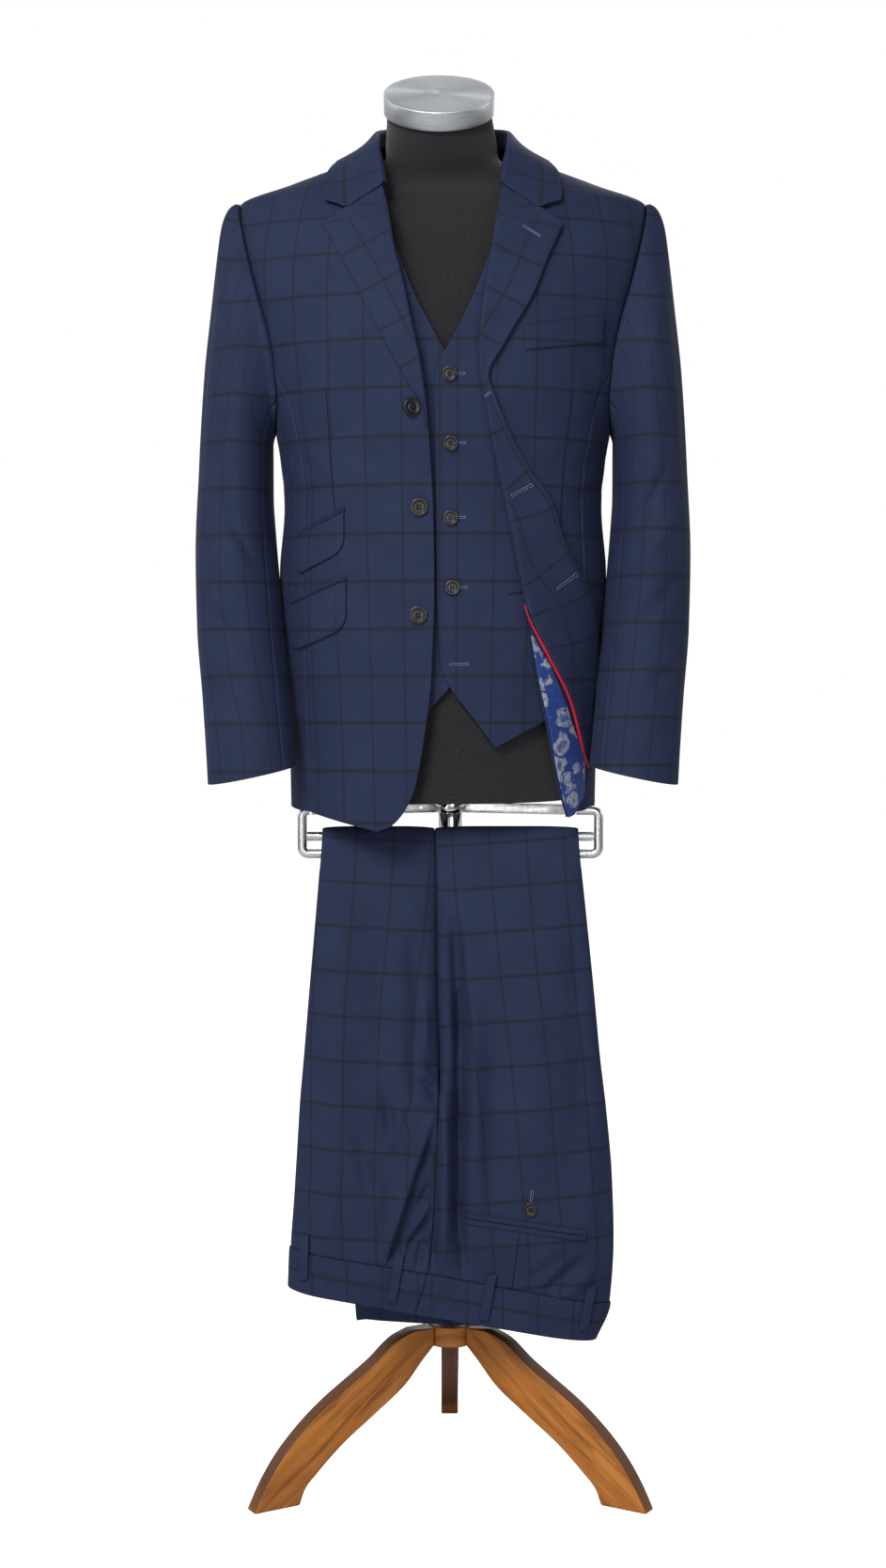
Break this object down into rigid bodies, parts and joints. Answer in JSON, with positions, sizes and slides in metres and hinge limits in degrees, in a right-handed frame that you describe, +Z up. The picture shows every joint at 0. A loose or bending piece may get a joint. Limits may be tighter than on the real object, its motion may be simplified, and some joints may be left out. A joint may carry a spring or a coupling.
{
  "type": "three-piece suit on a dress form",
  "caption": "Checked three-piece suit on a limbless dress form with a chromed post and wooden tripod; one jacket front is turned back and the trousers hang folded over a rail.",
  "frame": {"origin": "centre of the whole object's box, at the floor under the feet", "axes": "+Z up, -Y the way the suit faces, +X towards the wearer's left side"},
  "size_m": [0.534, 0.3837, 1.5531],
  "materials": {
    "cloth": "fine worsted twill in navy blue with a dark brown windowpane check, matt with a slight sheen",
    "lining": "smooth satin lining, blue ground with a silver-grey mottled pattern",
    "piping": "red satin cord edging",
    "button": "polished dark horn-effect button, four holes",
    "form": "black jersey cover, matt",
    "brushed": "brushed",
    "chrome": "polished",
    "wood": "golden brown varnished hardwood, satin"
  },
  "bodies": {
    "root": {"jacket_front_right": "cloth", "jacket_front_left": "cloth", "jacket_side_right": "cloth", "jacket_side_left": "cloth", "jacket_back_right": "cloth", "jacket_back_left": "cloth", "sleeve_top_right": "cloth", "sleeve_top_left": "cloth", "sleeve_under_right": "cloth", "sleeve_under_left": "cloth", "jacket_collar": "cloth", "lapel_right": "cloth", "lapel_facing_left": "cloth", "facing_lining_left": "lining", "facing_piping_left": "piping", "breast_welt": "cloth", "ticket_flap": "cloth", "ticket_jet": "cloth", "hip_flap_right": "cloth", "hip_jet_right": "cloth", "jacket_button_1": "button", "jacket_button_2": "button", "jacket_button_3": "button", "waistcoat_front_right": "cloth", "waistcoat_front_left": "cloth", "waistcoat_back_right": "cloth", "waistcoat_back_left": "cloth", "waistcoat_welt_left": "cloth", "waistcoat_button_1": "button", "waistcoat_button_2": "button", "waistcoat_button_3": "button", "waistcoat_button_4": "button", "trousers_back_right": "cloth", "trousers_back_left": "cloth", "trousers_front_right": "cloth", "trousers_front_left": "cloth", "waistband_right": "cloth", "waistband_left": "cloth", "belt_loop_1": "cloth", "belt_loop_2": "cloth", "belt_loop_3": "cloth", "belt_loop_4": "cloth", "back_pocket_jet_upper": "cloth", "back_pocket_jet_lower": "cloth", "back_pocket_button": "button", "dress_form": "form", "neck_cap": "brushed", "post": "chrome", "tripod_hub": "wood", "tripod_leg_right": "wood", "tripod_leg_left": "wood", "tripod_leg_rear": "wood", "post_clamp": "chrome", "cross_arm_right": "brushed", "cross_arm_left": "brushed", "rail_end_right": "chrome", "rail_end_left": "chrome", "rail_upper": "chrome", "rail_lower": "chrome"}
  },
  "joints": []
}
